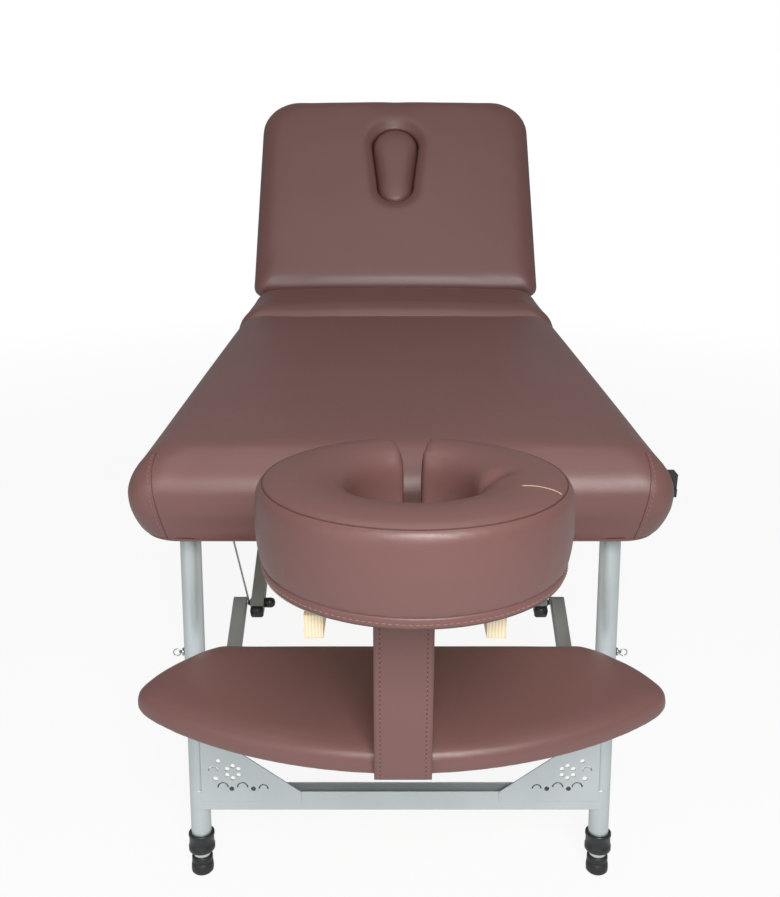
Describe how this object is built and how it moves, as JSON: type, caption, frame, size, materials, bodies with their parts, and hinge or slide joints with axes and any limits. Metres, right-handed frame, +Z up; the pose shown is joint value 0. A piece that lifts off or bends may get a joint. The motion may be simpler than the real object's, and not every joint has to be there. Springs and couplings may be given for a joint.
{
  "type": "folding massage table",
  "caption": "Folding massage table with a lift-up padded backrest, a crescent face cradle, a hanging arm shelf and telescopic legs with folding braces.",
  "frame": {"origin": "on the floor, under the middle of the object's box", "axes": "+Z up, +Y along the table from the face cradle to the backrest, +X to the latch side"},
  "size_m": [0.7225, 2.2827, 1.0621],
  "materials": {
    "upholstery": "brown synthetic leather over foam",
    "plywood": "clear lacquered birch plywood",
    "rail_wood": "timber rails, covered in the upholstery",
    "silver_tube": "satin silver painted",
    "steel": "zinc plated",
    "black_plastic": "moulded black",
    "foot_rubber": "moulded black rubber",
    "webbing": "black webbing"
  },
  "bodies": {
    "near_half": {"near_cushion": "upholstery", "near_deck": "plywood", "near_frame_rails": "rail_wood", "near_pivot_brackets": "steel", "near_fold_hinges": "steel", "near_handle": "webbing", "latch_bases": "black_plastic", "near_stay_cables": "steel"},
    "far_half": {"seat_strip_cushion": "upholstery", "far_deck": "plywood", "far_frame_rails": "rail_wood", "far_pivot_brackets": "steel", "far_fold_hinges": "steel", "far_handle": "webbing", "latch_keepers": "black_plastic", "lift_hinge_plates": "steel", "far_stay_cables": "steel"},
    "backrest": {"backrest_cushion": "upholstery", "backrest_board": "plywood", "lift_hinge_arms": "steel"},
    "breathing_plug": {"breathing_hole_plug": "upholstery"},
    "cradle": {"cradle_arms": "plywood", "cradle_rods": "silver_tube", "cradle_dowels": "plywood", "arm_shelf_sling": "upholstery", "arm_shelf_board": "plywood", "arm_shelf_pad": "upholstery"},
    "cradle_top": {"cradle_platform": "plywood", "cradle_pad": "upholstery"},
    "tilt_lever": {"tilt_lever": "black_plastic"},
    "latch_front": {"latch_lever_front": "black_plastic"},
    "latch_rear": {"latch_lever_rear": "black_plastic"},
    "near_legs": {"near_leg_tubes": "silver_tube", "near_leg_collars": "black_plastic", "near_leg_bolts": "steel", "near_crossbar": "silver_tube", "near_corner_plates": "silver_tube"},
    "near_lower_braces": {"near_lower_struts": "silver_tube"},
    "near_upper_braces": {"near_upper_struts": "silver_tube", "near_knee_knobs": "black_plastic"},
    "near_left_inner": {"near_left_inner_leg": "silver_tube", "near_left_foot": "foot_rubber"},
    "near_left_pin": {"near_left_lock_pin": "steel"},
    "near_right_inner": {"near_right_inner_leg": "silver_tube", "near_right_foot": "foot_rubber"},
    "near_right_pin": {"near_right_lock_pin": "steel"},
    "far_legs": {"far_leg_tubes": "silver_tube", "far_leg_collars": "black_plastic", "far_leg_bolts": "steel", "far_crossbar": "silver_tube", "far_corner_plates": "silver_tube"},
    "far_lower_braces": {"far_lower_struts": "silver_tube"},
    "far_upper_braces": {"far_upper_struts": "silver_tube", "far_knee_knobs": "black_plastic"},
    "far_left_inner": {"far_left_inner_leg": "silver_tube", "far_left_foot": "foot_rubber"},
    "far_left_pin": {"far_left_lock_pin": "steel"},
    "far_right_inner": {"far_right_inner_leg": "silver_tube", "far_right_foot": "foot_rubber"},
    "far_right_pin": {"far_right_lock_pin": "steel"}
  },
  "joints": [
    {"name": "table_fold", "type": "hinge", "parent": "near_half", "child": "far_half", "pos_m": [0, 0.16, 0.5], "axis": [-1, 0, 0], "range_deg": [0, 180]},
    {"name": "backrest_tilt", "type": "hinge", "parent": "far_half", "child": "backrest", "pos_m": [0, 0.468, 0.606], "axis": [1, 0, 0], "range_deg": [-50, 20]},
    {"name": "plug_lift", "type": "slide", "parent": "backrest", "child": "breathing_plug", "axis": [0, -0.766, 0.6428], "range_m": [0, 0.09]},
    {"name": "cradle_slide", "type": "slide", "parent": "near_half", "child": "cradle", "axis": [0, -1, 0], "range_m": [0, 0.12]},
    {"name": "cradle_tilt", "type": "hinge", "parent": "cradle", "child": "cradle_top", "pos_m": [0, -0.9, 0.572], "axis": [-1, 0, 0], "range_deg": [0, 35]},
    {"name": "tilt_lever_swing", "type": "hinge", "parent": "cradle", "child": "tilt_lever", "pos_m": [0, -0.9, 0.572], "axis": [-1, 0, 0], "range_deg": [0, 90]},
    {"name": "latch_front_swing", "type": "hinge", "parent": "near_half", "child": "latch_front", "pos_m": [0.359, -0.708, 0.55], "axis": [0, 1, 0], "range_deg": [0, 150]},
    {"name": "latch_rear_swing", "type": "hinge", "parent": "near_half", "child": "latch_rear", "pos_m": [0.359, -0.21, 0.536], "axis": [0, 1, 0], "range_deg": [0, 150]},
    {"name": "near_leg_fold", "type": "hinge", "parent": "near_half", "child": "near_legs", "pos_m": [0, -0.715, 0.522], "axis": [1, 0, 0], "range_deg": [0, 99.78], "deforming": ["near_stay_cables"]},
    {"name": "near_upper_brace_fold", "type": "hinge", "parent": "near_half", "child": "near_upper_braces", "pos_m": [0, -0.07, 0.538], "axis": [-1, 0, 0], "range_deg": [0, 27.07]},
    {"name": "near_lower_brace_fold", "type": "hinge", "parent": "near_legs", "child": "near_lower_braces", "pos_m": [0, -0.75649, 0.18718], "axis": [1, 0, 0], "range_deg": [0, 53.15]},
    {"name": "near_left_leg_height", "type": "slide", "parent": "near_legs", "child": "near_left_inner", "axis": [0, -0.1699, -0.9855], "range_m": [0, 0.18]},
    {"name": "near_left_pin_pull", "type": "slide", "parent": "near_legs", "child": "near_left_pin", "axis": [-1, 0, 0], "range_m": [0, 0.005], "stiffness_N_per_m": 800, "springref_m": -0.002},
    {"name": "near_right_leg_height", "type": "slide", "parent": "near_legs", "child": "near_right_inner", "axis": [0, -0.1699, -0.9855], "range_m": [0, 0.18]},
    {"name": "near_right_pin_pull", "type": "slide", "parent": "near_legs", "child": "near_right_pin", "axis": [1, 0, 0], "range_m": [0, 0.005], "stiffness_N_per_m": 800, "springref_m": -0.002},
    {"name": "far_leg_fold", "type": "hinge", "parent": "far_half", "child": "far_legs", "pos_m": [0, 1.035, 0.522], "axis": [-1, 0, 0], "range_deg": [0, 99.78], "deforming": ["far_stay_cables"]},
    {"name": "far_upper_brace_fold", "type": "hinge", "parent": "far_half", "child": "far_upper_braces", "pos_m": [0, 0.39, 0.538], "axis": [1, 0, 0], "range_deg": [0, 27.07]},
    {"name": "far_lower_brace_fold", "type": "hinge", "parent": "far_legs", "child": "far_lower_braces", "pos_m": [0, 1.07649, 0.18718], "axis": [-1, 0, 0], "range_deg": [0, 53.15]},
    {"name": "far_left_leg_height", "type": "slide", "parent": "far_legs", "child": "far_left_inner", "axis": [0, 0.1699, -0.9855], "range_m": [0, 0.18]},
    {"name": "far_left_pin_pull", "type": "slide", "parent": "far_legs", "child": "far_left_pin", "axis": [-1, 0, 0], "range_m": [0, 0.005], "stiffness_N_per_m": 800, "springref_m": -0.002},
    {"name": "far_right_leg_height", "type": "slide", "parent": "far_legs", "child": "far_right_inner", "axis": [0, 0.1699, -0.9855], "range_m": [0, 0.18]},
    {"name": "far_right_pin_pull", "type": "slide", "parent": "far_legs", "child": "far_right_pin", "axis": [1, 0, 0], "range_m": [0, 0.005], "stiffness_N_per_m": 800, "springref_m": -0.002}
  ],
  "couplings": [
    {"joint": "near_leg_fold", "follows": "table_fold", "ratio": 0.55435},
    {"joint": "near_upper_brace_fold", "follows": "table_fold", "ratio": 0.15038},
    {"joint": "near_lower_brace_fold", "follows": "table_fold", "ratio": 0.29527},
    {"joint": "far_leg_fold", "follows": "table_fold", "ratio": 0.55435},
    {"joint": "far_upper_brace_fold", "follows": "table_fold", "ratio": 0.15038},
    {"joint": "far_lower_brace_fold", "follows": "table_fold", "ratio": 0.29527}
  ]
}
